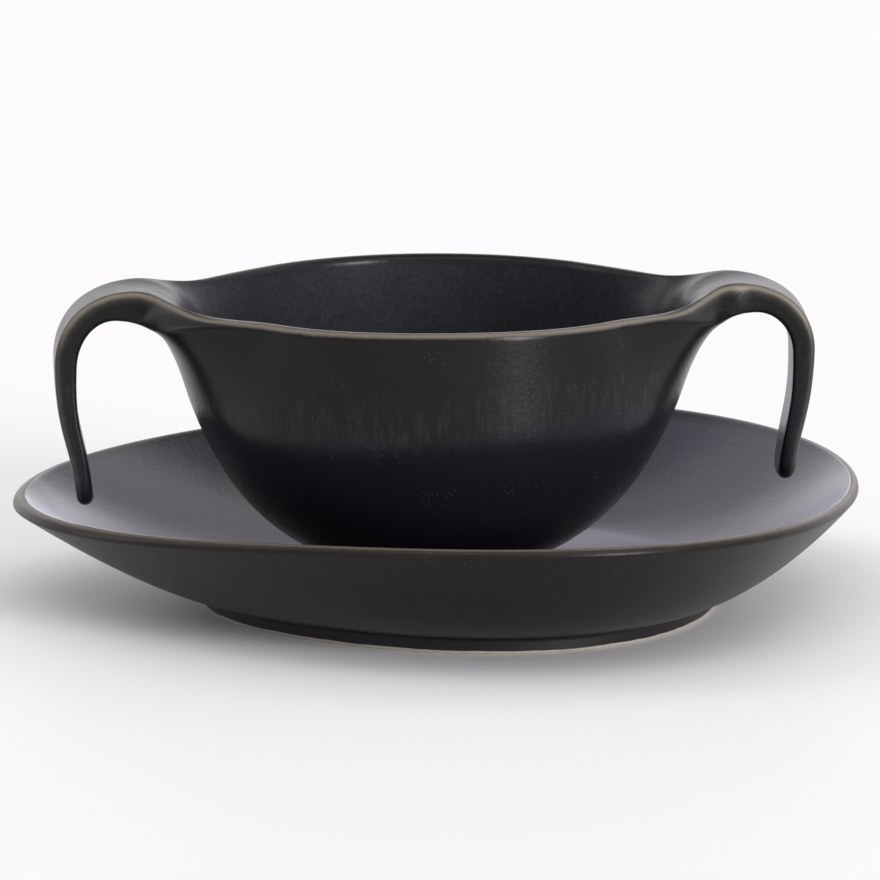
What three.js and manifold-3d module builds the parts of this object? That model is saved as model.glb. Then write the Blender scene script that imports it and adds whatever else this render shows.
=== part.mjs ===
// Two-handled soup cup standing on its saucer, in dark glazed stoneware.
// Millimetres, +Z up. The origin is the middle of the footprint, on the table.
// The handles lie along X and the viewer in the photograph stands towards -Y.

import * as THREE from 'three';
import { mergeVertices } from 'three/addons/utils/BufferGeometryUtils.js';
import Module from 'manifold-3d';

// Cup bowl, heights from the underside of its own foot
const rimRadius = 54.2;
const cupHeight = 63.8;
const wallThickness = 3.8;
const baseThickness = 5.6;
const shoulderHeight = 42;
const lowerWallRadius = 38;
const lowerWallHeight = 9.5;
const floorRadius = 14;
const floorHeight = 4.9;
const floorCentreHeight = 3.9;
const footShift = -0.9;
const frontRise = 0.8;
const frontRiseFocus = 8;

// Cup foot ring
const cupFootHeight = 2.5;
const cupFootRadius = 26;
const cupFootWidth = 4;
const cupFootEasing = 0.5;

// Strap handles, free at their lower ends
const strapWidth = 16;
const strapRootThickness = 7.6;
const strapThickness = 5.5;
const strapTipThickness = 3.8;
const strapHollow = 0.5;
const right = {
  direction: 1,
  crestReach: 70.8,
  crestHeight: 63.3,
  bendReach: 82.9,
  bendHeight: 50.8,
  tipReach: 79.3,
  tipHeight: 21.1,
};
const left = {
  direction: -1,
  crestReach: 71.3,
  crestHeight: 62.7,
  bendReach: 83.3,
  bendHeight: 49,
  tipReach: 78.3,
  tipHeight: 16.6,
};
const tipRounding = 6;
const tipSquareness = 0.8;
const rimEdgeSquareness = 0.85;
const strapEdgeSquareness = 0.5;
const tipEdgeSquareness = 1;
const rootFillet = 4.7;
const rootSpread = 42;
const rootFlare = 1.5;
const rootFlareTurn = 19;
const joinReach = 62;

// How far each stretch of the cup's curves reaches towards its corner, as a share of the stretch
const reach = {
  floor: 0.33,
  shoulderBelow: 0.31,
  shoulderAbove: 0.6,
  crestInner: 0.78,
  crestOuter: 0.55,
  bendAbove: 0.6,
  bendBelow: 0.5,
  tipAbove: 0.5,
  tipOutside: 0.35,
};

// Saucer dish, heights from the table
const saucerRadius = 92.5;
const saucerRimHeight = 28.1;
const saucerRimThickness = 3.6;
const saucerFloorHeight = 7.75;
const wellRadius = 52;
const dishCurve = 1.5;
const rimTopTurn = 112;
const rimUndersideTurn = 0;
const saucerCentre = new THREE.Vector2(8, 1.8);
const rimShift = -2.3;
const rimShiftCurve = 5;

// The hand-made saucer rim: a soft three-cornered plan, and a rim that rises and falls
const planOval = 0.034;
const planOvalTurn = 10;
const planCorners = 0.068;
const planCornersTurn = 49.3;
const rimTilt = 0.7;
const rimTiltTurn = -9;
const rimSaddle = 2.7;
const rimSaddleTurn = 93;

// Saucer foot ring
const saucerFootHeight = 3.5;
const saucerFootRadius = 56.9;
const saucerFootWidth = 4.5;
const saucerFootEasing = 0.6;

// How finely the curved clay is faceted
const rimSteps = 14;
const rimCrowding = 1.25;
const strapSteps = 13;
const tipSteps = 4;
const edgeSteps = 3;
const marginSteps = 3;
const marginDepth = 14;
const bowlSteps = 9;
const turnSteps = 64;
const profileSteps = 9;
const noseSteps = 4;
const lineSamples = 200;

const clay = {
  cup: new THREE.MeshStandardMaterial({ color: 0x191a1c, roughness: 0.35, metalness: 0 }),
  saucer: new THREE.MeshStandardMaterial({ color: 0x212024, roughness: 0.35, metalness: 0 }),
  foot: new THREE.MeshStandardMaterial({ color: 0x1f1e20, roughness: 0.5, metalness: 0 }),
};

const wasm = await Module();
wasm.setup();

// Solids

function solidOf(geometry) {
  const plain = geometry.clone();
  plain.deleteAttribute('normal');
  plain.deleteAttribute('uv');
  const merged = mergeVertices(plain, 1e-4);
  const corners = merged.index.array;
  const kept = [];
  for (let i = 0; i < corners.length; i += 3) {
    const [a, b, c] = corners.slice(i, i + 3);
    if (a !== b && b !== c && c !== a) kept.push(a, b, c);
  }
  return new wasm.Manifold(new wasm.Mesh({
    numProp: 3,
    vertProperties: new Float32Array(merged.attributes.position.array),
    triVerts: new Uint32Array(kept),
  }));
}

function geometryOf(solid) {
  const mesh = solid.getMesh();
  const geometry = new THREE.BufferGeometry();
  geometry.setAttribute('position', new THREE.BufferAttribute(new Float32Array(mesh.vertProperties), 3));
  geometry.setIndex(new THREE.BufferAttribute(new Uint32Array(mesh.triVerts), 1));
  geometry.computeVertexNormals();
  return geometry;
}

function block(lowX, highX, lowZ, highZ) {
  const depth = 4 * rimRadius;
  const box = new THREE.BoxGeometry(highX - lowX, depth, highZ - lowZ);
  box.translate((lowX + highX) / 2, 0, (lowZ + highZ) / 2);
  return solidOf(box);
}

function named(name, geometry, material) {
  const mesh = new THREE.Mesh(geometry, material);
  mesh.name = name;
  return mesh;
}

function ease(low, high, value) {
  return THREE.MathUtils.smootherstep(value, low, high);
}

// The cup's middle surface: lines through the middle of the clay, from the centre of the floor outwards

const wallMiddle = rimRadius - wallThickness / 2;
const point = (x, z) => new THREE.Vector2(x, z);

// Floor and lower wall; where the wall is pulled into a strap, its shoulder flares out and leans outwards
function floorAndLowerWall(flare, lean) {
  const slope = (lowerWallHeight - floorHeight) / (lowerWallRadius - floorRadius);
  const run = floorRadius * reach.floor;
  const floor = new THREE.CubicBezierCurve(
    point(0, floorCentreHeight),
    point(run, floorCentreHeight),
    point(floorRadius - run, floorHeight - slope * run),
    point(floorRadius, floorHeight),
  );
  const lowerWall = new THREE.CubicBezierCurve(
    point(floorRadius, floorHeight),
    point(lowerWallRadius, lowerWallHeight),
    shoulderPoint(flare, lean, -reach.shoulderBelow * shoulderHeight),
    shoulderPoint(flare, lean, 0),
  );
  return [floor, lowerWall];
}

// A point at a distance up the leaning line through the shoulder
function shoulderPoint(flare, lean, distance) {
  const turn = THREE.MathUtils.degToRad(lean);
  return point(wallMiddle + flare + distance * Math.sin(turn), shoulderHeight + distance * Math.cos(turn));
}

function wallLine() {
  const line = new THREE.CurvePath();
  line.curves.push(...floorAndLowerWall(0, 0));
  line.curves.push(new THREE.LineCurve(point(wallMiddle, shoulderHeight), point(wallMiddle, cupHeight)));
  return line;
}

// Up the wall, out over the crest, round the bend and down to the free tip
function strapLine({ crestReach, crestHeight, bendReach, bendHeight, tipReach, tipHeight }) {
  const rise = crestHeight - shoulderHeight;
  const bend = crestHeight - bendHeight;
  const drop = bendHeight - tipHeight;
  const line = new THREE.CurvePath();
  line.curves.push(...floorAndLowerWall(rootFlare, rootFlareTurn));
  line.curves.push(new THREE.CubicBezierCurve(
    shoulderPoint(rootFlare, rootFlareTurn, 0),
    shoulderPoint(rootFlare, rootFlareTurn, reach.shoulderAbove * rise),
    point(crestReach - reach.crestInner * (crestReach - wallMiddle), crestHeight),
    point(crestReach, crestHeight),
  ));
  line.curves.push(new THREE.CubicBezierCurve(
    point(crestReach, crestHeight),
    point(crestReach + reach.crestOuter * (bendReach - crestReach), crestHeight),
    point(bendReach, bendHeight + reach.bendAbove * bend),
    point(bendReach, bendHeight),
  ));
  line.curves.push(new THREE.CubicBezierCurve(
    point(bendReach, bendHeight),
    point(bendReach, bendHeight - reach.bendBelow * drop),
    point(tipReach + reach.tipOutside * (bendReach - tipReach), tipHeight + reach.tipAbove * drop),
    point(tipReach, tipHeight),
  ));
  return line;
}

// A point of a line at a distance along it; past its end the line runs straight on
function along(line, distance) {
  const length = line.getLength();
  if (distance <= length) return line.getPointAt(Math.max(distance, 0) / length);
  const past = line.getTangentAt(1).multiplyScalar(distance - length);
  return line.getPointAt(1).add(past);
}

function cupSide(handle) {
  const wall = wallLine();
  const strap = strapLine(handle);
  const lengths = strap.getCurveLengths();
  const shoulder = lengths[1];
  const crest = lengths[2];
  const rim = wall.getLength();
  const tip = strap.getLength();
  const thinning = shoulder / 2;
  const pastCrest = crest + strapWidth / 2;

  // How far the wall has been drawn out into the strap, by distance round the rim from the handle
  const drawn = (around) => 1 - ease(strapWidth / 2, rootSpread, Math.abs(around));

  // The middle surface at a distance up the clay from the floor's centre and a distance round the rim
  function middle(up, around) {
    const turn = around / wallMiddle;
    const plain = along(wall, up);
    const pulled = along(strap, up);
    const share = drawn(around);
    const radius = Math.min(plain.x, wallMiddle);
    const camber = radius * (1 - Math.cos(turn)) * (1 - ease(shoulder, crest, up));
    const x = (1 - share) * radius * Math.cos(turn) + share * (pulled.x - camber);
    const hollow = strapHollow * ease(shoulder, rim, up) * (1 - ease(rim, pastCrest, up));
    const lip = hollow * Math.min(Math.pow(2 * around / strapWidth, 2), 1);
    const z = (1 - share) * plain.y + share * (pulled.y + lip);
    return new THREE.Vector3(x, radius * Math.sin(turn), z);
  }

  function normal(up, around) {
    const step = 0.02;
    if (up < step) return new THREE.Vector3(0, 0, 1);
    const alongWall = middle(up + step, around).sub(middle(up - step, around));
    const aroundRim = middle(up, around + step).sub(middle(up, around - step));
    return alongWall.cross(aroundRim).normalize();
  }

  function thickness(up, around) {
    const wallHere = THREE.MathUtils.lerp(baseThickness, wallThickness, ease(thinning, shoulder, up));
    const root = THREE.MathUtils.lerp(wallHere, strapRootThickness, ease(shoulder, rim, up));
    const crown = THREE.MathUtils.lerp(root, strapThickness, ease(rim, pastCrest, up));
    const strapHere = THREE.MathUtils.lerp(crown, strapTipThickness, ease(crest, tip, up));
    return THREE.MathUtils.lerp(wallHere, strapHere, drawn(around));
  }

  // How square the clay's edge is: 1 is half an ellipse, and less has flatter sides and tighter corners
  function squareness(up, around) {
    const towardsTip = ease(tip - strapWidth, tip, up);
    const strapHere = THREE.MathUtils.lerp(strapEdgeSquareness, tipEdgeSquareness, towardsTip);
    return THREE.MathUtils.lerp(rimEdgeSquareness, strapHere, drawn(around));
  }

  return { middle, normal, thickness, squareness, rim, tip };
}

// Pairs of points, one on the clay's edge and one inside it, from the middle of the free rim,
// round the fillet at the handle's root, along the strap's edge and round its tip
function stations(side) {
  const half = strapWidth / 2;
  const soft = (t) => rootFillet * Math.log(1 + Math.exp(t / rootFillet));
  const inner = side.rim - marginDepth;
  const quarter = wallMiddle * Math.PI / 2;
  const tipStart = side.tip - tipRounding;
  const list = [];
  for (let i = 0; i <= rimSteps; i += 1) {
    const t = -(quarter - half) * Math.pow(1 - i / rimSteps, rimCrowding);
    list.push({
      edge: [side.rim + soft(t), half + soft(-t)],
      inside: [inner, half - t - half * Math.exp(t / marginDepth)],
    });
  }
  list[0].inside[1] = quarter;
  list[0].edge = [side.rim, quarter];
  for (let i = 1; i <= strapSteps; i += 1) {
    const t = (tipStart - side.rim) * i / strapSteps;
    list.push({
      edge: [side.rim + soft(t), half + soft(-t)],
      inside: [side.rim + t - marginDepth * Math.exp(-t / marginDepth), 0],
    });
  }
  const last = list[list.length - 1];
  for (let i = 1; i <= tipSteps; i += 1) {
    const turn = i / tipSteps * Math.PI / 2;
    const round = (value) => Math.pow(Math.max(value, 0), tipSquareness);
    const across = i === tipSteps ? 0 : last.edge[1] * round(Math.cos(turn));
    list.push({
      edge: [last.edge[0] + (side.tip - last.edge[0]) * round(Math.sin(turn)), across],
      inside: last.inside,
    });
  }
  return list;
}

// One quarter of the cup's clay as rows of points on its two faces, which meet along its edge
function quarterRows(side) {
  const list = stations(side);
  const roundness = wallThickness / 2;
  const margin = list.map(({ edge, inside }) => {
    const depth = Math.hypot(edge[0] - inside[0], edge[1] - inside[1]);
    const row = [];
    for (let i = 0; i <= edgeSteps; i += 1) {
      const turn = i / edgeSteps * Math.PI / 2;
      const squared = (value) => Math.pow(Math.max(value, 0), side.squareness(...edge));
      row.push([roundness * (1 - squared(Math.cos(turn))), squared(Math.sin(turn))]);
    }
    for (let i = 1; i <= marginSteps; i += 1) {
      row.push([roundness + (depth - roundness) * i / marginSteps, 1]);
    }
    return row.map(([inset, swell]) => {
      const share = Math.min(inset / depth, 1);
      const up = THREE.MathUtils.lerp(edge[0], inside[0], share);
      const around = THREE.MathUtils.lerp(edge[1], inside[1], share);
      return { up, around, swell };
    });
  });
  const bowl = list.slice(0, rimSteps + 1).map(({ inside }) => {
    const row = [];
    for (let i = bowlSteps; i >= 0; i -= 1) {
      row.push({ up: inside[0] * i / bowlSteps, around: inside[1], swell: 1 });
    }
    return row;
  });
  return [margin, bowl];
}

function cupClay() {
  const triangles = [];
  for (const handle of [right, left]) {
    const side = cupSide(handle);
    for (const hand of [1, -1]) {
      for (const rows of quarterRows(side)) {
        for (const face of [1, -1]) {
          const placed = rows.map((row) => row.map(({ up, around, swell }) => {
            const lift = face * swell * side.thickness(up, around) / 2;
            const spot = side.middle(up, around).addScaledVector(side.normal(up, around), lift);
            return warped(handle.direction * spot.x, hand * spot.y, spot.z);
          }));
          addQuads(triangles, placed, handle.direction * hand * face > 0);
        }
      }
    }
  }
  const geometry = new THREE.BufferGeometry();
  geometry.setAttribute('position', new THREE.Float32BufferAttribute(triangles, 3));
  return solidOf(geometry);
}

// The foot stands a little off the middle, and the front of the rim rises a little
function warped(x, y, z) {
  const lean = footShift * Math.max(1 - z / cupHeight, 0);
  const front = Math.pow(Math.max(-y / rimRadius, 0), frontRiseFocus);
  return [x + lean, y, z + frontRise * front * ease(shoulderHeight, cupHeight, z)];
}

function addQuads(triangles, rows, flipped) {
  for (let j = 0; j + 1 < rows.length; j += 1) {
    for (let i = 0; i + 1 < rows[j].length; i += 1) {
      const a = rows[j][i];
      const b = rows[j + 1][i];
      const c = rows[j + 1][i + 1];
      const d = rows[j][i + 1];
      const corners = flipped ? [a, d, c, a, c, b] : [a, b, c, a, c, d];
      for (const corner of corners) triangles.push(...corner);
    }
  }
}

// The root of the turned foot, from below the joint up to the middle of the clay above it
function footRoot() {
  const inner = cupFootRadius - cupFootWidth;
  const clayHeight = (radius) => wallLine().getSpacedPoints(lineSamples).find((spot) => spot.x >= radius).y;
  const ring = new THREE.LatheGeometry([
    point(inner, 0),
    point(cupFootRadius, 0),
    point(cupFootRadius, clayHeight(cupFootRadius)),
    point(inner, clayHeight(inner)),
    point(inner, 0),
  ], turnSteps);
  ring.rotateX(Math.PI / 2);
  ring.translate(footShift, 0, 0);
  return solidOf(ring);
}

// Cup: the bowl with the stubs of its handles and foot, the two straps luted on, and the foot ring

function makeCup() {
  const cup = new THREE.Group();
  const farReach = 2 * Math.max(right.bendReach, left.bendReach);
  const top = cupHeight * 2;
  const whole = cupClay().add(footRoot()).subtract(block(-farReach, farReach, -top, cupFootHeight));
  const bowl = whole.intersect(block(-joinReach, joinReach, 0, top));
  const rightStrap = whole.intersect(block(joinReach, farReach, 0, top));
  const leftStrap = whole.intersect(block(-farReach, -joinReach, 0, top));
  cup.add(named('cup_bowl', geometryOf(bowl), clay.cup));
  cup.add(named('handle_right', geometryOf(rightStrap), clay.cup));
  cup.add(named('handle_left', geometryOf(leftStrap), clay.cup));
  cup.add(makeCupFoot());
  cup.position.z = saucerFloorHeight;
  return cup;
}

// A square ring with eased corners, turned about the axis
function ringProfile(outer, width, height, easing) {
  const inner = outer - width;
  return [
    point(inner, height),
    point(inner, easing),
    point(inner + easing, 0),
    point(outer - easing, 0),
    point(outer, easing),
    point(outer, height),
    point(inner, height),
  ];
}

function makeCupFoot() {
  const profile = ringProfile(cupFootRadius, cupFootWidth, cupFootHeight, cupFootEasing);
  const ring = new THREE.LatheGeometry(profile, turnSteps);
  ring.rotateX(Math.PI / 2);
  ring.translate(footShift, 0, 0);
  return named('cup_foot_ring', geometryOf(solidOf(ring)), clay.foot);
}

// Saucer: turned round, then pushed out of round by hand

function planPush(turn) {
  const oval = planOval * Math.cos(2 * (turn - THREE.MathUtils.degToRad(planOvalTurn)));
  const corners = planCorners * Math.cos(3 * (turn - THREE.MathUtils.degToRad(planCornersTurn)));
  return oval + corners;
}

function rimRise(turn) {
  const tilt = rimTilt * Math.cos(turn - THREE.MathUtils.degToRad(rimTiltTurn));
  const saddle = rimSaddle * Math.cos(2 * (turn - THREE.MathUtils.degToRad(rimSaddleTurn)));
  return tilt + saddle;
}

function pushOutOfRound(geometry) {
  const position = geometry.attributes.position;
  for (let i = 0; i < position.count; i += 1) {
    const x = position.getX(i);
    const y = position.getY(i);
    const radius = Math.hypot(x, y);
    const turn = Math.atan2(y, x);
    const share = radius / saucerRadius;
    const wider = 1 + planPush(turn) * share;
    const outside = Math.max((radius - saucerFootRadius) / (saucerRadius - saucerFootRadius), 0);
    const rise = rimRise(turn) * Math.pow(outside, dishCurve);
    position.setX(i, saucerCentre.x + x * wider + rimShift * Math.pow(share, rimShiftCurve));
    position.setY(i, saucerCentre.y + y * wider);
    position.setZ(i, position.getZ(i) + rise);
  }
  return geometry;
}

// Under the dish from the centre out, round the nose of the rim, and down the inside to the flat well
function dishProfile() {
  const nose = saucerRimThickness / 2;
  const { degToRad, lerp } = THREE.MathUtils;
  const onNose = (turn) => point(
    saucerRadius - nose + nose * Math.cos(degToRad(turn)),
    saucerRimHeight - nose + nose * Math.sin(degToRad(turn)),
  );
  const dishLine = (start, end) => (share) => point(
    lerp(start.x, end.x, share),
    lerp(start.y, end.y, Math.pow(share, dishCurve)),
  );
  const under = dishLine(point(saucerFootRadius, saucerFootHeight), onNose(rimUndersideTurn));
  const inside = dishLine(point(wellRadius, saucerFloorHeight), onNose(rimTopTurn));
  const profile = [point(0, saucerFootHeight)];
  for (let i = 0; i < profileSteps; i += 1) profile.push(under(i / profileSteps));
  for (let i = 0; i < noseSteps; i += 1) {
    profile.push(onNose(lerp(rimUndersideTurn, rimTopTurn, i / noseSteps)));
  }
  for (let i = profileSteps; i >= 0; i -= 1) profile.push(inside(i / profileSteps));
  profile.push(point(0, saucerFloorHeight));
  return profile;
}

function makeSaucer() {
  const saucer = new THREE.Group();
  const dish = new THREE.LatheGeometry(dishProfile(), turnSteps);
  dish.rotateX(Math.PI / 2);
  const profile = ringProfile(saucerFootRadius, saucerFootWidth, saucerFootHeight, saucerFootEasing);
  const ring = new THREE.LatheGeometry(profile, turnSteps);
  ring.rotateX(Math.PI / 2);
  saucer.add(named('saucer_dish', geometryOf(solidOf(pushOutOfRound(dish))), clay.saucer));
  saucer.add(named('saucer_foot_ring', geometryOf(solidOf(pushOutOfRound(ring))), clay.foot));
  return saucer;
}

const set = new THREE.Group();
set.add(makeSaucer(), makeCup());

export default set;
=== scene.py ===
import math
import bmesh
import bpy
import numpy as np
from mathutils import Matrix, Vector


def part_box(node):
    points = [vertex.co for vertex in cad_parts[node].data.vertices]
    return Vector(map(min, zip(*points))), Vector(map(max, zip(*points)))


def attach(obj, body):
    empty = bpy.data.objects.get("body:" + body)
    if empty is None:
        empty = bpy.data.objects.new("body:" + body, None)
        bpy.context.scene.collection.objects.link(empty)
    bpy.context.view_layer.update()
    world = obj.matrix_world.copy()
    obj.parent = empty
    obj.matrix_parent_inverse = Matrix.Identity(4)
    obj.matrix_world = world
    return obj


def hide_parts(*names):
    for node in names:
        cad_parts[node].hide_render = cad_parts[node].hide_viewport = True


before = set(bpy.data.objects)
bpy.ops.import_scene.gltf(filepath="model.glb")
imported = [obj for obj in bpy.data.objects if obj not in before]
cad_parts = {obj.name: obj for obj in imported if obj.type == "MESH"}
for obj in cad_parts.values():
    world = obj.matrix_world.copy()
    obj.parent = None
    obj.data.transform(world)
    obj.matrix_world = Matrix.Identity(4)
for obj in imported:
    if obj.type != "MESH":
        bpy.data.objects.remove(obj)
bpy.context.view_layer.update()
print("frame loaded:", len(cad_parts), "nodes")

# Lengths of the shapes are in millimetres until a mesh is made, angles in degrees
millimetre = 0.001
weldDistance = 2e-7  # metres, between points that neighbouring grids share
sliverLength = 1e-8  # metres, of an edge that is dissolved


def smoother(low, high, value):
    # quintic step 6t^5 - 15t^4 + 10t^3, where t runs from 0 at low to 1 at high
    t = np.clip((value - low) / (high - low), 0, 1)
    return t * t * t * (t * (6 * t - 15) + 10)


def mix(a, b, share):
    # a at share 0 and b at share 1, in a straight line between
    return a + (b - a) * share


def bezier(corners, steps=1500):
    # cubic curve (1-t)^3 a + 3(1-t)^2 t b + 3(1-t) t^2 c + t^3 d
    a, b, c, d = [np.array(corner, float) for corner in corners]
    t = np.linspace(0, 1, steps)[:, None]
    return (1 - t) ** 3 * a + 3 * (1 - t) ** 2 * t * b + 3 * (1 - t) * t ** 2 * c + t ** 3 * d


def measured(stretches):
    # joins stretches of (x, z) points and adds the distance run at each point
    points = np.vstack([stretches[0]] + [stretch[1:] for stretch in stretches[1:]])
    steps = np.hypot(*np.diff(points, axis=0).T)
    run = np.concatenate([[0], np.cumsum(steps)])
    ends = np.cumsum([len(stretches[0])] + [len(stretch) - 1 for stretch in stretches[1:]]) - 1
    return {"points": points, "run": run, "joints": run[ends]}


def along(line, distance):
    # point at a distance along the line; past its end the line runs straight on
    x = np.interp(distance, line["run"], line["points"][:, 0])
    z = np.interp(distance, line["run"], line["points"][:, 1])
    last = line["points"][-1] - line["points"][-2]
    past = np.maximum(distance - line["run"][-1], 0) / np.hypot(*last)
    return x + past * last[0], z + past * last[1]


def gridFaces(rows, columns, start, flipped):
    # quads of a grid whose points are numbered row by row
    corner = start + np.arange(rows - 1)[:, None] * columns + np.arange(columns - 1)[None, :]
    quads = np.stack([corner, corner + columns, corner + columns + 1, corner + 1], -1).reshape(-1, 4)
    return quads[:, ::-1] if flipped else quads


def makePiece(name, grids):
    # welds grids of points into one closed mesh; each grid is (points, edgeRun, flipped)
    points, runs, faces = [], [], []
    start = 0
    for grid, edgeRun, flipped in grids:
        rows, columns = grid.shape[:2]
        points.append(grid.reshape(-1, 3))
        runs.append(np.broadcast_to(edgeRun, (rows, columns)).reshape(-1))
        faces.append(gridFaces(rows, columns, start, flipped))
        start += rows * columns
    mesh = bpy.data.meshes.new(name)
    mesh.from_pydata(np.vstack(points) * millimetre, [], np.vstack(faces))
    edge = mesh.attributes.new("edgeRun", "FLOAT", "POINT")
    edge.data.foreach_set("value", np.concatenate(runs).astype(np.float32))
    work = bmesh.new()
    work.from_mesh(mesh)
    bmesh.ops.remove_doubles(work, verts=work.verts, dist=weldDistance)
    bmesh.ops.dissolve_degenerate(work, edges=work.edges, dist=sliverLength)
    bmesh.ops.recalc_face_normals(work, faces=work.faces)
    work.to_mesh(mesh)
    work.free()
    mesh.shade_smooth()
    piece = bpy.data.objects.new(name, mesh)
    bpy.context.scene.collection.objects.link(piece)
    return piece


# The cup's bowl and its strap handles are one skin of clay. Heights count from the underside of the cup's
# foot. Each curve reaches towards its corner by a share of its stretch, such as shoulderBelow or bendAbove

cup = {
    "rimRadius": 54.2,
    "height": 63.8,
    "wall": 3.8,
    "base": 5.6,
    "shoulderHeight": 42.0,  # the wall is upright from here
    "shoulderBelow": 0.31,
    "lowerWallRadius": 38.0,
    "lowerWallHeight": 9.5,
    "floorRadius": 14.0,
    "floorHeight": 4.9,
    "floorCentreHeight": 3.9,
    "floorReach": 0.33,
    "edgeSquareness": 0.85,  # 1 is a round rim, less is squarer
    "footShift": -0.9,
    "frontRise": 0.8,  # the rim is a little higher at the front
    "frontRiseFocus": 8,
    "footHeight": 2.5,  # of the bowl's flat underside
    "footSoftness": 0.25,
    "standsAt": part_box("cup_foot_ring")[0].z / millimetre,
}
strap = {
    "width": 16.0,
    "rootThickness": 7.6,
    "thickness": 5.5,
    "tipThickness": 3.8,
    "hollow": 0.5,  # how far the root's middle lies below its edges
    "tipRounding": 6.0,  # length of the rounded end
    "tipSquareness": 0.8,
    "edgeSquareness": 0.5,
    "tipEdgeSquareness": 1.0,
    "rootFillet": 4.7,
    "rootSpread": 42.0,  # along the rim, from the middle of the handle
    "flare": 1.5,  # outwards at the shoulder, where the wall then leans by flareTurn
    "flareTurn": 19.0,
    "shoulderAbove": 0.6,
    "crestInner": 0.78,
    "crestOuter": 0.55,
    "bendAbove": 0.6,
    "bendBelow": 0.5,
    "tipOutside": 0.35,
    "tipAbove": 0.5,
    "arris": 0.85,  # place of the upper arris, in half thicknesses from the middle of the edge
}
handles = [
    {
        "direction": 1,
        "crestReach": 70.8,
        "crestHeight": 63.3,
        "bendReach": 82.9,
        "bendHeight": 50.8,
        "tipReach": 79.3,
        "tipHeight": 21.1,
    },
    {
        "direction": -1,
        "crestReach": 71.3,
        "crestHeight": 62.7,
        "bendReach": 83.3,
        "bendHeight": 49.0,
        "tipReach": 78.3,
        "tipHeight": 16.6,
    },
]
fineness = {
    "rim": 72,
    "rimCrowding": 1.25,  # gathers the rim's steps towards the handles
    "strap": 60,
    "tip": 14,
    "edge": 10,
    "margin": 14,
    "marginDepth": 14.0,  # of the band of grid along the free edge
    "bowl": 44,
}
wallMiddle = cup["rimRadius"] - cup["wall"] / 2


def shoulderPoint(flare, lean, distance):
    # a point at a distance up the line that leans outwards through the shoulder
    turn = math.radians(lean)
    return wallMiddle + flare + distance * math.sin(turn), cup["shoulderHeight"] + distance * math.cos(turn)


def lowerCurves(flare, lean):
    # floor and lower wall, up to the shoulder
    slope = (cup["lowerWallHeight"] - cup["floorHeight"]) / (cup["lowerWallRadius"] - cup["floorRadius"])
    run = cup["floorRadius"] * cup["floorReach"]
    floor = bezier([
        (0, cup["floorCentreHeight"]),
        (run, cup["floorCentreHeight"]),
        (cup["floorRadius"] - run, cup["floorHeight"] - slope * run),
        (cup["floorRadius"], cup["floorHeight"]),
    ])
    lowerWall = bezier([
        (cup["floorRadius"], cup["floorHeight"]),
        (cup["lowerWallRadius"], cup["lowerWallHeight"]),
        shoulderPoint(flare, lean, -cup["shoulderBelow"] * cup["shoulderHeight"]),
        shoulderPoint(flare, lean, 0),
    ])
    return [floor, lowerWall]


def strapCurves(handle):
    # up the wall, out over the crest, round the bend and down to the free tip
    crestReach, crest = handle["crestReach"], handle["crestHeight"]
    bendReach, bend = handle["bendReach"], handle["bendHeight"]
    tipReach, tip = handle["tipReach"], handle["tipHeight"]
    above = strap["shoulderAbove"] * (crest - cup["shoulderHeight"])
    rise = bezier([
        shoulderPoint(strap["flare"], strap["flareTurn"], 0),
        shoulderPoint(strap["flare"], strap["flareTurn"], above),
        (mix(crestReach, wallMiddle, strap["crestInner"]), crest),
        (crestReach, crest),
    ])
    over = bezier([
        (crestReach, crest),
        (mix(crestReach, bendReach, strap["crestOuter"]), crest),
        (bendReach, mix(bend, crest, strap["bendAbove"])),
        (bendReach, bend),
    ])
    down = bezier([
        (bendReach, bend),
        (bendReach, mix(bend, tip, strap["bendBelow"])),
        (mix(tipReach, bendReach, strap["tipOutside"]), mix(tip, bend, strap["tipAbove"])),
        (tipReach, tip),
    ])
    return [rise, over, down]


def cupSide(handle):
    # the line up the plain wall, the line that runs on into the strap, and the marks along them
    upright = np.array([(wallMiddle, cup["shoulderHeight"]), (wallMiddle, cup["height"])])
    wall = measured(lowerCurves(0, 0) + [upright])
    line = measured(lowerCurves(strap["flare"], strap["flareTurn"]) + strapCurves(handle))
    return {
        "wall": wall,
        "line": line,
        "shoulder": line["joints"][1],
        "crest": line["joints"][2],
        "pastCrest": line["joints"][2] + strap["width"] / 2,
        "rim": wall["run"][-1],
        "tip": line["run"][-1],
        "direction": handle["direction"],
    }


def drawnOut(around):
    # how far the wall has been drawn out into the strap: 1 at the handle, 0 a rootSpread away
    return 1 - smoother(strap["width"] / 2, strap["rootSpread"], np.abs(around))


def middleOfClay(side, up, around):
    # blends a round wall (radius x cos, radius x sin, height) with a strap that keeps its width;
    # up runs along the clay from the middle of the floor, around runs along the rim from the handle
    turn = around / wallMiddle
    wallX, wallZ = along(side["wall"], up)
    strapX, strapZ = along(side["line"], up)
    share = drawnOut(around)
    radius = np.minimum(wallX, wallMiddle)
    camber = radius * (1 - np.cos(turn)) * (1 - smoother(side["shoulder"], side["crest"], up))
    x = (1 - share) * radius * np.cos(turn) + share * (strapX - camber)
    hollow = strap["hollow"] * smoother(side["shoulder"], side["rim"], up)
    hollow = hollow * (1 - smoother(side["rim"], side["pastCrest"], up))
    lip = hollow * np.minimum((2 * around / strap["width"]) ** 2, 1)
    z = (1 - share) * wallZ + share * (strapZ + lip)
    return np.stack([x, radius * np.sin(turn), z], -1)


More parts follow.
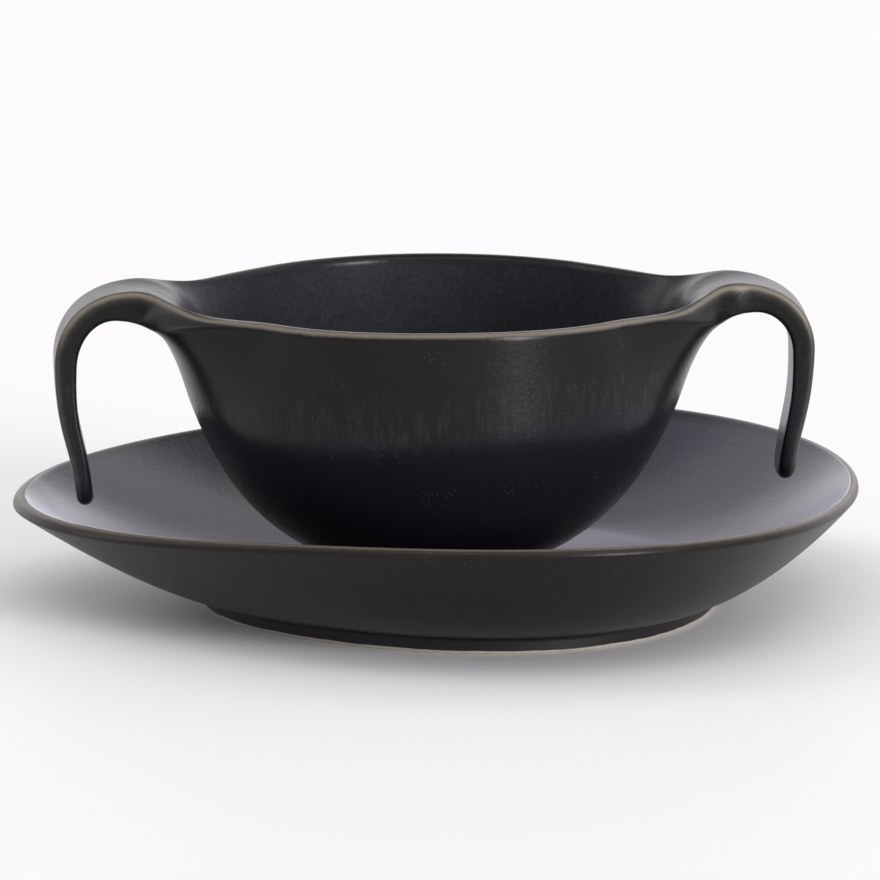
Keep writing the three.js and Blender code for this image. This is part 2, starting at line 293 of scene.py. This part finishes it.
def clayNormal(side, up, around):
    # cross product of the two slopes of the middle surface, by central differences
    step = 0.2
    lower = np.maximum(up - step, 0)
    alongWall = middleOfClay(side, up + step, around) - middleOfClay(side, lower, around)
    aroundRim = middleOfClay(side, up, around + step) - middleOfClay(side, up, around - step)
    normal = np.cross(alongWall, aroundRim)
    length = np.linalg.norm(normal, axis=-1, keepdims=True)
    upright = np.broadcast_to(np.array([0.0, 0.0, 1.0]), normal.shape)
    return np.where((up < step)[..., None], upright, normal / np.maximum(length, 1e-9))


def clayThickness(side, up, around):
    # base to wall, and where drawn out, wall to root to strap to tip
    wall = mix(cup["base"], cup["wall"], smoother(side["shoulder"] / 2, side["shoulder"], up))
    root = mix(wall, strap["rootThickness"], smoother(side["shoulder"], side["rim"], up))
    crown = mix(root, strap["thickness"], smoother(side["rim"], side["pastCrest"], up))
    drawn = mix(crown, strap["tipThickness"], smoother(side["crest"], side["tip"], up))
    return mix(wall, drawn, drawnOut(around))


def stations(side):
    # pairs of (up, around) places, on the clay's free edge and inside it: the rim from midway between the
    # handles, the fillet at the root (softplus of the distance past it), the strap's edge, and a
    # superellipse tip
    half = strap["width"] / 2
    fillet = strap["rootFillet"]
    depth = fineness["marginDepth"]
    quarter = wallMiddle * math.pi / 2
    tipStart = side["tip"] - strap["tipRounding"]

    def soft(t):
        return fillet * np.logaddexp(0, t / fillet)

    t = -(quarter - half) * (1 - np.linspace(0, 1, fineness["rim"] + 1)) ** fineness["rimCrowding"]
    edge = np.stack([side["rim"] + soft(t), half + soft(-t)], -1)
    inside = np.stack([np.full_like(t, side["rim"] - depth), half - t - half * np.exp(t / depth)], -1)
    edge[0] = (side["rim"], quarter)
    inside[0, 1] = quarter
    t = np.linspace(0, tipStart - side["rim"], fineness["strap"] + 1)[1:]
    strapEdge = np.stack([side["rim"] + soft(t), half + soft(-t)], -1)
    strapInside = np.stack([side["rim"] + t - depth * np.exp(-t / depth), np.zeros_like(t)], -1)
    turn = np.linspace(0, math.pi / 2, fineness["tip"] + 1)[1:]
    squareness = strap["tipSquareness"]
    across = strapEdge[-1, 1] * np.clip(np.cos(turn), 0, 1) ** squareness
    across[-1] = 0
    upTip = strapEdge[-1, 0] + (side["tip"] - strapEdge[-1, 0]) * np.sin(turn) ** squareness
    tipEdge = np.stack([upTip, across], -1)
    tipInside = np.repeat(strapInside[-1:], len(turn), axis=0)
    return np.vstack([edge, strapEdge, tipEdge]), np.vstack([inside, strapInside, tipInside])


def quarterOfCup(side):
    # (up, around, swell, inset) of the margin along the free edge and of the bowl within it; the edge's
    # section is the superellipse inset = r (1 - cos^p), swell = sin^p, where a smaller p is squarer
    edge, inside = stations(side)
    roundness = cup["wall"] / 2
    depth = np.linalg.norm(edge - inside, axis=1)[:, None]
    towardsTip = smoother(side["tip"] - strap["width"], side["tip"], edge[:, :1])
    strapEdge = mix(strap["edgeSquareness"], strap["tipEdgeSquareness"], towardsTip)
    squareness = mix(cup["edgeSquareness"], strapEdge, drawnOut(edge[:, 1:]))
    quarterTurn = np.linspace(0, math.pi / 2, fineness["edge"] + 1)[None, :]
    rounded = roundness * (1 - np.clip(np.cos(quarterTurn), 0, 1) ** squareness)
    further = np.linspace(0, 1, fineness["margin"] + 1)[None, 1:]
    inset = np.hstack([rounded, roundness + (depth - roundness) * further])
    swell = np.hstack([np.sin(quarterTurn) ** squareness, np.ones((len(edge), fineness["margin"]))])
    share = np.minimum(inset / depth, 1)[..., None]
    place = edge[:, None, :] * (1 - share) + inside[:, None, :] * share
    margin = (place[..., 0], place[..., 1], swell, inset)
    rimPart = inside[: fineness["rim"] + 1]
    down = np.linspace(1, 0, fineness["bowl"] + 1)[None, :]
    up = rimPart[:, :1] * down
    around = np.broadcast_to(rimPart[:, 1:], up.shape)
    bowl = (up, around, np.ones_like(up), side["rim"] - up)
    return [margin, bowl]


def runFromArris(halfThickness, swell, inset, around, face):
    # distance round the edge's section from its middle, negative on the outer and under side;
    # on the straps it counts from the upper arris instead
    steps = np.hypot(np.diff(inset, axis=1), np.diff(swell * halfThickness, axis=1))
    run = inset[:, :1] + np.hstack([np.zeros((len(inset), 1)), np.cumsum(steps, axis=1)])
    return face * run - strap["arris"] * halfThickness * drawnOut(around)


def softFloor(height):
    # softplus: the turned underside is flat, and bends up into the wall over a fraction of a millimetre
    return cup["footSoftness"] * np.logaddexp(0, height / cup["footSoftness"])


def warped(x, y, z):
    # the foot stands a little off the middle, and the rim rises by frontRise times a power of -y / r
    lean = cup["footShift"] * np.maximum(1 - z / cup["height"], 0)
    front = np.maximum(-y / cup["rimRadius"], 0) ** cup["frontRiseFocus"]
    rise = cup["frontRise"] * front * smoother(cup["shoulderHeight"], cup["height"], z)
    return np.stack([x + lean, y, z + rise + cup["standsAt"]], -1)


def cupGrids():
    # each quarter's two faces, half a thickness to either side of the middle of the clay
    grids = []
    for handle in handles:
        side = cupSide(handle)
        for hand in (1, -1):
            for up, around, swell, inset in quarterOfCup(side):
                middle = middleOfClay(side, up, around)
                halfThickness = clayThickness(side, up, around) / 2
                lift = (swell * halfThickness)[..., None] * clayNormal(side, up, around)
                for face in (1, -1):
                    spot = middle + face * lift
                    height = cup["footHeight"] + softFloor(spot[..., 2] - cup["footHeight"])
                    placed = warped(side["direction"] * spot[..., 0], hand * spot[..., 1], height)
                    edgeRun = runFromArris(halfThickness, swell, inset, around, face)
                    grids.append((placed, edgeRun, side["direction"] * hand * face > 0))
    return grids


cupPiece = makePiece("cup", cupGrids())
print("cup shaped:", len(cupPiece.data.polygons), "faces")


# The saucer and the two foot rings are turned

saucer = {
    "radius": 92.5,
    "rimHeight": 28.1,
    "rimThickness": 3.6,
    "floorHeight": 7.75,
    "wellRadius": 52.0,
    "dishCurve": 1.5,
    "rimTopTurn": 112.0,  # where the nose of the rim runs into the inside
    "rimUndersideTurn": 0.0,
    "centre": (8.0, 1.8),
    "rimShift": -2.3,
    "rimShiftCurve": 5,
    "oval": (0.034, 10.0),  # share of the radius, and the turn where it is widest
    "corners": (0.068, 49.3),
    "tilt": (0.7, -9.0),  # rise of the rim, and the turn where it is highest
    "saddle": (2.7, 93.0),
}
# meets holds the heights at which a ring's inner and outer sides run into the clay above
saucerRing = {"outer": 56.9, "width": 4.5, "height": 3.5, "meets": (3.5, 3.5), "easing": 0.6, "flare": 0.8}
cupRing = {"outer": 26.0, "width": 4.0, "meets": (3.95, 6.15), "easing": 0.5, "flare": 0.8}
turning = {"aroundSteps": 320, "dishSteps": 60, "flatSteps": 20, "noseSteps": 16, "footSteps": 6}


def arc(centre, radius, fromTurn, toTurn, steps):
    # centre + radius (cos, sin) of a turn that goes from one angle to the other in even steps
    turn = np.radians(np.linspace(fromTurn, toTurn, steps + 1))
    return np.stack([centre[0] + radius * np.cos(turn), centre[1] + radius * np.sin(turn)], -1)


def dishProfile():
    # underside r, z = power curve out to the nose, the nose as an arc, and a power curve in to the flat well
    nose = saucer["rimThickness"] / 2
    noseCentre = (saucer["radius"] - nose, saucer["rimHeight"] - nose)
    rim = arc(noseCentre, nose, saucer["rimUndersideTurn"], saucer["rimTopTurn"], turning["noseSteps"])
    share = np.linspace(0, 1, turning["dishSteps"] + 1)[:, None]
    steps = turning["flatSteps"]

    def dishLine(start, end):
        radius = mix(start[0], end[0], share)
        height = mix(start[1], end[1], share ** saucer["dishCurve"])
        return np.hstack([radius, height])

    def flat(start, end, height):
        return np.stack([np.linspace(start, end, steps), np.full(steps, height)], -1)

    under = dishLine((saucerRing["outer"], saucerRing["height"]), rim[0])
    inside = dishLine((saucer["wellRadius"], saucer["floorHeight"]), rim[-1])[::-1]
    flatUnder = flat(0, saucerRing["outer"], saucerRing["height"])
    flatWell = flat(saucer["wellRadius"], 0, saucer["floorHeight"])
    return np.vstack([flatUnder[:-1], under[:-1], rim[:-1], inside[:-1], flatWell])


def footProfile(ring):
    # a ring with eased standing corners, whose sides flare into the clay above by a quarter circle
    outer, inner = ring["outer"], ring["outer"] - ring["width"]
    easing, flare = ring["easing"], ring["flare"]
    inside, outside = ring["meets"]
    steps = turning["footSteps"]
    return np.vstack([
        [(inner - flare, inside + flare / 2)],
        arc((inner - flare, inside - flare), flare, 90, 0, steps),
        arc((inner + easing, easing), easing, 180, 270, steps),
        arc((outer - easing, easing), easing, 270, 360, steps),
        arc((outer + flare, outside - flare), flare, 180, 90, steps),
        [(outer + flare, outside + flare / 2), (inner - flare, inside + flare / 2)],
    ])


def wave(pair, times, turn):
    # the pair's size times the cosine of so many waves a round, with a crest at the pair's angle
    return pair[0] * np.cos(times * (turn - math.radians(pair[1])))


def turned(profile):
    # a profile (r, z) carried round the axis, one row of points for each turn
    turn = np.linspace(0, 2 * math.pi, turning["aroundSteps"] + 1)[:, None]
    turn[-1] = 0
    radius = np.broadcast_to(profile[None, :, 0], (len(turn), len(profile)))
    height = np.broadcast_to(profile[None, :, 1], radius.shape)
    return radius, height, np.broadcast_to(turn, radius.shape)


def pushedOutOfRound(radius, height, turn):
    # r grows with an oval and a three-cornered wave, and the rim rises with a tilt and a saddle wave
    share = radius / saucer["radius"]
    wider = 1 + (wave(saucer["oval"], 2, turn) + wave(saucer["corners"], 3, turn)) * share
    outside = np.maximum((radius - saucerRing["outer"]) / (saucer["radius"] - saucerRing["outer"]), 0)
    rise = (wave(saucer["tilt"], 1, turn) + wave(saucer["saddle"], 2, turn)) * outside ** saucer["dishCurve"]
    shift = saucer["rimShift"] * share ** saucer["rimShiftCurve"]
    x = saucer["centre"][0] + radius * wider * np.cos(turn) + shift
    y = saucer["centre"][1] + radius * wider * np.sin(turn)
    return np.stack([x, y, height + rise], -1)


def runFromRim(profile):
    # distance along the profile from the top of the rim, negative on the outer and under side
    steps = np.hypot(*np.diff(profile, axis=0).T)
    run = np.concatenate([[0], np.cumsum(steps)])
    return run - run[np.argmax(profile[:, 1])]


def makeSaucer():
    # the dish's profile carried round and pushed out of round
    profile = dishProfile()
    grid = pushedOutOfRound(*turned(profile))
    return makePiece("saucer", [(grid, runFromRim(profile)[None, :], False)])


def makeSaucerFoot():
    # pushed out of round with the dish
    grid = pushedOutOfRound(*turned(footProfile(saucerRing)))
    return makePiece("saucer_foot", [(grid, 0.0, False)])


def makeCupFoot():
    # truly round: radius x cos, radius x sin, height, and shifted with the bowl's underside
    radius, height, turn = turned(footProfile(cupRing))
    x = radius * np.cos(turn) + cup["footShift"]
    y = radius * np.sin(turn)
    return makePiece("cup_foot", [(np.stack([x, y, height + cup["standsAt"]], -1), 0.0, False)])


saucerPiece = makeSaucer()
saucerFoot = makeSaucerFoot()
cupFoot = makeCupFoot()
print("saucer and feet turned:", len(saucerPiece.data.polygons), "faces")


def newMaterial(name):
    # an empty node tree to fill
    material = bpy.data.materials.new(name)
    material.use_nodes = True
    material.node_tree.nodes.clear()
    return material


class Nodes:
    # shorthands for wiring a node tree
    def __init__(self, tree):
        self.tree = tree

    def add(self, kind, inputs=None, **settings):
        made = self.tree.nodes.new(kind)
        for key, value in settings.items():
            setattr(made, key, value)
        for key, value in (inputs or {}).items():
            self.feed(made.inputs[key], value)
        return made

    def feed(self, socket, value):
        if isinstance(value, bpy.types.NodeSocket):
            self.tree.links.new(value, socket)
        else:
            socket.default_value = value

    def math(self, operation, *values):
        made = self.add("ShaderNodeMath", operation=operation)
        for socket, value in zip(made.inputs, values):
            self.feed(socket, value)
        return made.outputs[0]

    def total(self, *values):
        total = values[0]
        for value in values[1:]:
            total = self.math("ADD", total, value)
        return total

    def spread(self, value, low, high, toLow=0.0, toHigh=1.0):
        # smoothstep from toLow, where the value is low, to toHigh, where it is high
        made = self.add("ShaderNodeMapRange", interpolation_type="SMOOTHSTEP", inputs={
            "Value": value, "From Min": low, "From Max": high, "To Min": toLow, "To Max": toHigh,
        })
        return made.outputs["Result"]

    def around(self, value, size):
        # a noise between 0 and 1 as one of the given size around 0
        return self.math("MULTIPLY", self.math("SUBTRACT", value, 0.5), size)

    def blend(self, factor, first, second):
        # inputs 6 and 7 and output 2 are the mix node's colour sockets
        made = self.add("ShaderNodeMix", data_type="RGBA")
        self.feed(made.inputs[0], factor)
        self.feed(made.inputs[6], first)
        self.feed(made.inputs[7], second)
        return made.outputs[2]

    def noise(self, place, scale, detail, roughness):
        made = self.add("ShaderNodeTexNoise", inputs={
            "Vector": place, "Scale": scale, "Detail": detail, "Roughness": roughness,
        })
        return made.outputs["Fac"]

    def stretched(self, place, scale):
        return self.add("ShaderNodeMapping", inputs={"Vector": place, "Scale": scale}).outputs["Vector"]

    def bump(self, height, strength, distance, normal=None):
        made = self.add("ShaderNodeBump", inputs={
            "Height": height, "Strength": strength, "Distance": distance,
        })
        if normal:
            self.feed(made.inputs["Normal"], normal)
        return made.outputs["Normal"]


def linear(red, green, blue):
    # a colour read off a picture (0 to 255) as the linear colour that renders so
    def channel(value):
        value = value / 255
        return value / 12.92 if value <= 0.04045 else ((value + 0.055) / 1.055) ** 2.4
    return (channel(red), channel(green), channel(blue), 1.0)


def twoCoats(n, look, place, edgeRun, cloud, grain):
    # outside, the upper coat ends in a ragged line with curdled streaks; all of it is finely mottled
    spot = n.add("ShaderNodeSeparateXYZ", inputs={"Vector": place}).outputs
    streaks = n.noise(n.stretched(place, look["streakStretch"]), *look["streaks"])
    line = n.total(
        look["lineHeight"],
        n.math("MULTIPLY", spot["X"], look["lineSlope"]),
        n.around(cloud, look["lineWave"]),
        n.around(streaks, look["lineStreaks"]),
    )
    overLine = n.math("SUBTRACT", spot["Z"], line)
    above = n.spread(overLine, -look["lineSoftness"], look["lineSoftness"])
    coat = n.blend(above, look["lower"], look["upper"])
    nearLine = n.spread(n.math("ABSOLUTE", overLine), look["curdleReach"], 0)
    curdle = n.math("MULTIPLY", nearLine, n.spread(streaks, *look["curdleFrom"]))
    coat = n.blend(n.math("MULTIPLY", curdle, look["curdleShare"]), coat, look["curdleColour"])
    # painted light: inside the rim the coat is painted lighter, lifting the shade in the cup's hollow and
    # standing in for the pale sky that the saucer's inside reflects
    coat = n.blend(n.spread(edgeRun, *look["paintedLightInsideFrom"]), coat, look["inside"])
    blotches = n.total(
        n.math("MULTIPLY", grain, look["mottleGrain"]),
        n.math("MULTIPLY", cloud, look["mottleCloud"]),
    )
    mottle = n.math("MULTIPLY", n.spread(blotches, *look["mottleFrom"]), look["fleckShare"])
    return n.blend(mottle, coat, look["fleck"])


def edgeBreakAndPaintedLight(n, look, place, edgeRun, coat):
    # where the clay turns an edge the glaze thins: a brown band on the outer side, partly a painted
    # reflection of light on the edge's upper half, and a thin pale line along the edge, partly bare clay and
    # partly a painted highlight, both fainter where the straps hang
    spot = n.add("ShaderNodeSeparateXYZ", inputs={"Vector": place}).outputs
    onStrap = n.spread(n.math("ABSOLUTE", spot["X"]), *look["strapFrom"])
    hanging = n.math("MULTIPLY", onStrap, n.spread(spot["Z"], *look["hangsBelow"]))
    ragged = n.around(n.noise(place, *look["edgeNoise"]), look["edgeRaggedness"])
    bandRun = n.math("ADD", edgeRun, ragged)
    outside = n.spread(bandRun, -look["breakAndReflectionWidth"], 0)
    inside = n.spread(bandRun, look["breakAndReflectionInside"], 0)
    bandShare = n.spread(hanging, 0, 1, look["breakAndReflectionShare"], look["hangingShare"] * look["breakAndReflectionShare"])
    band = n.math("MULTIPLY", n.math("MULTIPLY", outside, inside), bandShare)
    coat = n.blend(band, coat, look["breakAndReflectionColour"])
    # on the straps edgeRun counts from the arris already
    # the pale line along the edge is partly bare clay and partly a painted highlight
    middle = n.spread(onStrap, 0, 1, look["arrisMiddle"], 0)
    lineRun = n.math("ADD", edgeRun, n.math("MULTIPLY", ragged, look["arrisRagged"]))
    nearLine = n.spread(n.math("ABSOLUTE", n.math("SUBTRACT", lineRun, middle)), look["arrisWidth"], 0)
    lineShare = n.spread(hanging, 0, 1, look["arrisClayAndHighlightShare"], look["hangingShare"] * look["arrisClayAndHighlightShare"])
    return n.blend(n.math("MULTIPLY", nearLine, lineShare), coat, look["arrisClayAndHighlightColour"])


def glaze(name, look):
    # the two coats, the thin glaze on the edges, crystals, pits and a slight orange peel
    material = newMaterial(name)
    n = Nodes(material.node_tree)
    place = n.add("ShaderNodeTexCoord").outputs["Object"]
    cloud = n.noise(place, *look["cloud"])
    grain = n.noise(place, *look["grain"])
    edgeRun = n.add("ShaderNodeAttribute", attribute_name="edgeRun").outputs["Fac"]
    colour = twoCoats(n, look, place, edgeRun, cloud, grain)
    colour = edgeBreakAndPaintedLight(n, look, place, edgeRun, colour)

    # the crystals are tiny pale flecks that come in patches
    cells = n.add("ShaderNodeTexVoronoi", inputs={"Vector": place, "Scale": look["crystalScale"]})
    patches = n.spread(n.noise(place, *look["patches"]), *look["patchFrom"])
    crystal = n.math("MULTIPLY", n.spread(cells.outputs["Distance"], *look["crystalFrom"]), patches)
    colour = n.blend(n.math("MULTIPLY", crystal, look["crystalShare"]), colour, look["crystalColour"])

    roughness = n.total(
        look["roughness"],
        n.around(cloud, look["cloudRoughness"]),
        n.around(grain, look["grainRoughness"]),
    )
    pits = n.bump(grain, look["pits"], look["pitDepth"])
    shader = n.add("ShaderNodeBsdfPrincipled", inputs={
        "Base Color": colour,
        "Roughness": roughness,
        "IOR": look["ior"],
        "Sheen Weight": look["sheen"],
        "Sheen Roughness": look["sheenRoughness"],
        "Sheen Tint": look["sheenTint"],
        "Normal": n.bump(n.noise(place, *look["peel"]), look["orangePeel"], look["peelDepth"], pits),
    })
    n.add("ShaderNodeOutputMaterial", inputs={"Surface": shader.outputs["BSDF"]})
    return material


# Noises are (scale, detail, roughness), and each From is the pair of values between which a thing sets in.
# Places on the pieces are in metres. Distances from an edge, such as paintedLightInsideFrom and breakAndReflectionWidth, are in
# millimetres
cupLook = {
    "cloud": (45, 3, 0.5),
    "grain": (900, 4, 0.6),
    "lower": linear(23, 23, 31),
    "upper": linear(20, 21, 20),
    # painted light: the bowl's inside is painted lighter than the outer coats, to lift the shade in the
    # hollow
    "inside": linear(52, 53, 58),
    "fleck": linear(24, 25, 26),
    "fleckShare": 0.5,
    "mottleGrain": 0.6,
    "mottleCloud": 0.4,
    "mottleFrom": (0.35, 0.65),
    "paintedLightInsideFrom": (1, 4),
    "lineHeight": 0.0500,
    "lineSlope": 0.04,
    "lineWave": 0.010,
    "streakStretch": (1, 1, 0.2),
    "streaks": (900, 5, 0.65),
    "lineStreaks": 0.03,
    "lineSoftness": 0.002,
    "curdleFrom": (0.47, 0.6),
    "curdleReach": 0.009,
    "curdleShare": 0.8,
    "curdleColour": linear(38, 39, 40),
    "edgeNoise": (260, 4, 0.6),
    "edgeRaggedness": 1.0,
    "breakAndReflectionWidth": 2.6,
    "breakAndReflectionInside": 0.8,
    "breakAndReflectionShare": 0.8,
    # brown where the glaze thins on an edge, partly a painted reflection of light on the edge's upper half
    "breakAndReflectionColour": linear(66, 63, 55),
    "arrisMiddle": -1.5,
    "arrisWidth": 1.2,
    "arrisRagged": 0.6,
    "arrisClayAndHighlightShare": 0.85,
    "strapFrom": (0.048, 0.062),
    "hangsBelow": (0.07, 0.058),
    "hangingShare": 0.25,
    # pale clay where the glaze thins on the arris, partly a painted highlight along it
    "arrisClayAndHighlightColour": linear(120, 112, 102),
    "patches": (130, 3, 0.6),
    "patchFrom": (0.56, 0.68),
    "crystalScale": 1100.0,
    "crystalFrom": (0.32, 0.12),
    "crystalShare": 0.14,
    "crystalColour": linear(120, 124, 128),
    "roughness": 0.26,
    "cloudRoughness": 0.1,
    "grainRoughness": 0.08,
    "pits": 0.3,
    "pitDepth": 0.0002,
    "peel": (110, 2, 0.4),
    "orangePeel": 0.1,
    "peelDepth": 0.001,
    "ior": 1.26,
    "sheen": 0.0,
    "sheenRoughness": 0.4,
    "sheenTint": linear(226, 226, 240),
}
saucerLook = dict(
    cupLook,
    lower=linear(8, 7, 9),
    upper=linear(8, 7, 9),
    fleck=linear(18, 16, 20),
    lineHeight=0.012,
    # the rim's brown band and pale line are partly a painted reflection and a painted highlight, as on the
    # cup
    breakAndReflectionWidth=4.5,
    breakAndReflectionShare=0.6,
    curdleShare=0.0,
    breakAndReflectionColour=linear(64, 58, 51),
    arrisMiddle=-0.6,
    arrisWidth=1.0,
    arrisClayAndHighlightShare=0.6,
    strapFrom=(1, 2),  # never reached: the saucer has no straps
    # painted reflection: the saucer's inside is painted lighter than its outside, for the pale sky it
    # reflects
    inside=linear(46, 44, 56),
    roughness=0.3,
    ior=1.25,
)
saucerInsideLook = dict(saucerLook, roughness=0.18, ior=1.48, sheen=0.9)
footLook = {
    "clay": [linear(190, 184, 174), linear(150, 142, 132)],
    "glaze": [linear(22, 21, 23), linear(34, 32, 34)],
    "grain": (800, 4, 0.6),
    "bareBelow": 0.0009,
    "wobble": (120, 3, 0.5),
    "bareWobble": 0.0006,
    "bareSoftness": 0.0003,
    "roughness": (0.42, 0.85),  # of the glaze, and of the bare clay
    "ior": 1.4,
    "pits": 0.4,
    "pitDepth": 0.0002,
}


def footMaterial(name, standsAt):
    # thin dark glaze wiped back to pale bare clay on the standing edge
    material = newMaterial(name)
    n = Nodes(material.node_tree)
    place = n.add("ShaderNodeTexCoord").outputs["Object"]
    height = n.add("ShaderNodeSeparateXYZ", inputs={"Vector": place}).outputs["Z"]
    grain = n.noise(place, *footLook["grain"])
    wobble = n.around(n.noise(place, *footLook["wobble"]), footLook["bareWobble"])
    bareBelow = standsAt * millimetre + footLook["bareBelow"]
    bare = n.spread(n.math("ADD", height, wobble), bareBelow, bareBelow - footLook["bareSoftness"])
    shader = n.add("ShaderNodeBsdfPrincipled", inputs={
        "Base Color": n.blend(bare, n.blend(grain, *footLook["glaze"]), n.blend(grain, *footLook["clay"])),
        "Roughness": n.spread(bare, 0, 1, *footLook["roughness"]),
        "IOR": footLook["ior"],
        "Normal": n.bump(grain, footLook["pits"], footLook["pitDepth"]),
    })
    n.add("ShaderNodeOutputMaterial", inputs={"Surface": shader.outputs["BSDF"]})
    return material


def glazeInside(piece, material):
    # the faces inside the rim, where edgeRun is above 0, take a second, glossier glaze
    piece.data.materials.append(material)
    edge = np.zeros(len(piece.data.vertices), np.float32)
    corners = np.zeros(len(piece.data.loops), np.int32)
    starts = np.zeros(len(piece.data.polygons), np.int32)
    piece.data.attributes["edgeRun"].data.foreach_get("value", edge)
    piece.data.loops.foreach_get("vertex_index", corners)
    piece.data.polygons.foreach_get("loop_start", starts)
    piece.data.polygons.foreach_set("material_index", (edge[corners[starts]] > 0).astype(np.int32))


for piece, material, body, slot, nodes in (
    (cupPiece, glaze("cup_glaze", cupLook), "cup", "cup_glaze", ("cup_bowl", "handle_right", "handle_left")),
    (cupFoot, footMaterial("cup_foot_clay", cup["standsAt"]), "cup", "foot_clay", ("cup_foot_ring",)),
    (saucerPiece, glaze("saucer_glaze", saucerLook), "saucer", "saucer_glaze", ("saucer_dish",)),
    (saucerFoot, footMaterial("saucer_foot_clay", 0), "saucer", "foot_clay", ("saucer_foot_ring",)),
):
    piece.data.materials.append(material)
    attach(piece, body)
    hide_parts(*nodes)
glazeInside(saucerPiece, glaze("saucer_glaze_inside", saucerInsideLook))
print("glazed and set on their bodies")


# A white table under a painted sky, paler behind the set than behind the viewer and darker overhead, with
# soft lights in it. Each light has its turn from straight behind the set, half its width, its lower and
# upper edge and the softness of its edges

floorLook = {"size": 8.0, "colour": (0.9, 0.89, 0.9, 1), "roughness": 0.4, "ior": 1.07}
sky = {
    "front": 0.37,
    "back": 0.44,
    "from": -0.5,
    "to": 0.4,
    "overhead": 0.6,
    "overheadFrom": 0.8,
    "overheadTo": 0.95,
    "ownHalf": 0.1,  # each light fades out at the edge of its own half of the sky
    "tint": (1.0, 0.985, 1.0, 1),
}
lights = [
    {"turn": 142, "width": 5, "low": -5, "high": 26, "soft": 4, "strength": 32.0},
    {"turn": -78, "width": 9, "low": -5, "high": 50, "soft": 4, "strength": 2.0},
    {"turn": 0, "width": 55, "low": -12, "high": 22, "soft": 12, "strength": 0.9},
    {"turn": 180, "width": 30, "low": 45, "high": 75, "soft": 8, "strength": 1.4},
    {"turn": 30, "width": 18, "low": 34, "high": 58, "soft": 7, "strength": 0.4},
    {"turn": 90, "width": 40, "low": 20, "high": 60, "soft": 8, "strength": 0.6},
    {"turn": -90, "width": 40, "low": 20, "high": 60, "soft": 8, "strength": 0.3},
]


def makeFloor():
    # a square table top at height 0, with hardly any gloss
    half = floorLook["size"] / 2
    mesh = bpy.data.meshes.new("floor")
    corners = [(-half, -half, 0), (half, -half, 0), (half, half, 0), (-half, half, 0)]
    mesh.from_pydata(corners, [], [(0, 1, 2, 3)])
    floor = bpy.data.objects.new("floor", mesh)
    bpy.context.scene.collection.objects.link(floor)
    material = newMaterial("pale_floor")
    n = Nodes(material.node_tree)
    shader = n.add("ShaderNodeBsdfPrincipled", inputs={
        "Base Color": floorLook["colour"], "Roughness": floorLook["roughness"], "IOR": floorLook["ior"],
    })
    n.add("ShaderNodeOutputMaterial", inputs={"Surface": shader.outputs["BSDF"]})
    mesh.materials.append(material)


def makeWorld():
    # front to back by Y, times the dimming overhead by Z, plus each light's windows in turn and height
    world = bpy.data.worlds.new("studio")
    world.use_nodes = True
    world.node_tree.nodes.clear()
    n = Nodes(world.node_tree)
    view = n.add("ShaderNodeTexCoord").outputs["Generated"]
    axes = n.add("ShaderNodeSeparateXYZ", inputs={"Vector": view}).outputs
    total = n.spread(axes["Y"], sky["from"], sky["to"], sky["front"], sky["back"])
    dimming = n.spread(axes["Z"], sky["overheadFrom"], sky["overheadTo"], 1, sky["overhead"])
    total = n.math("MULTIPLY", total, dimming)

    def window(value, low, high, soft):
        # 1 between two angles, falling off to 0 over soft to either side
        def edge(angle):
            return [math.sin(math.radians(angle + step * soft)) for step in (-1, 1)]

        fall = edge(high)[::-1]
        return n.math("MULTIPLY", n.spread(value, *edge(low)), n.spread(value, *fall))

    def facing(turn):
        # cosine of the angle between the view and a level direction
        axis = (math.sin(turn), math.cos(turn), 0)
        made = n.add("ShaderNodeVectorMath", operation="DOT_PRODUCT", inputs={0: view, 1: axis})
        return made.outputs["Value"]

    for light in lights:
        turn, width, soft = math.radians(light["turn"]), light["width"], light["soft"]
        across = window(facing(turn + math.pi / 2), -width, width, soft)
        height = window(axes["Z"], light["low"], light["high"], soft)
        ahead = n.math("MULTIPLY", n.spread(facing(turn), 0, sky["ownHalf"]), height)
        glow = n.math("MULTIPLY", n.math("MULTIPLY", across, ahead), light["strength"])
        total = n.math("ADD", total, glow)
    background = n.add("ShaderNodeBackground", inputs={"Color": sky["tint"], "Strength": total})
    n.add("ShaderNodeOutputWorld", inputs={"Surface": background.outputs[0]})
    bpy.context.scene.world = world


# Metres, but for the two angles: above level, and round from straight in front
camera = {
    "distance": 3.0,
    "height": 10.9,
    "turn": 3.0,
    "aimHeight": 0.0383,
    "aimRight": 0.001016,
    "aimUp": -0.000226,
    "sensor": 36,  # millimetres, as is the lens
    "lens": 543.8,
    "nearest": 0.1,
    "furthest": 50,
}


def makeCamera():
    # the photograph's viewing angle through a long lens: the eye stands back from the aim by the distance
    height, turn = math.radians(camera["height"]), math.radians(camera["turn"])
    back = Vector((-math.cos(height) * math.sin(turn), -math.cos(height) * math.cos(turn), math.sin(height)))
    right = Vector((math.cos(turn), -math.sin(turn), 0))
    up = back.cross(right)
    eye = Vector((0, 0, camera["aimHeight"])) + right * camera["aimRight"] + up * camera["aimUp"]
    eye = eye + back * camera["distance"]
    lens = bpy.data.cameras.new("camera")
    lens.sensor_width = camera["sensor"]
    lens.lens = camera["lens"]
    lens.clip_start = camera["nearest"]
    lens.clip_end = camera["furthest"]
    piece = bpy.data.objects.new("camera", lens)
    piece.matrix_world = Matrix((
        (right.x, up.x, back.x, eye.x),
        (right.y, up.y, back.y, eye.y),
        (right.z, up.z, back.z, eye.z),
        (0, 0, 0, 1),
    ))
    bpy.context.scene.collection.objects.link(piece)
    bpy.context.scene.camera = piece


makeFloor()
makeWorld()
makeCamera()
bpy.context.scene.view_settings.view_transform = "Standard"
print("lit and framed")
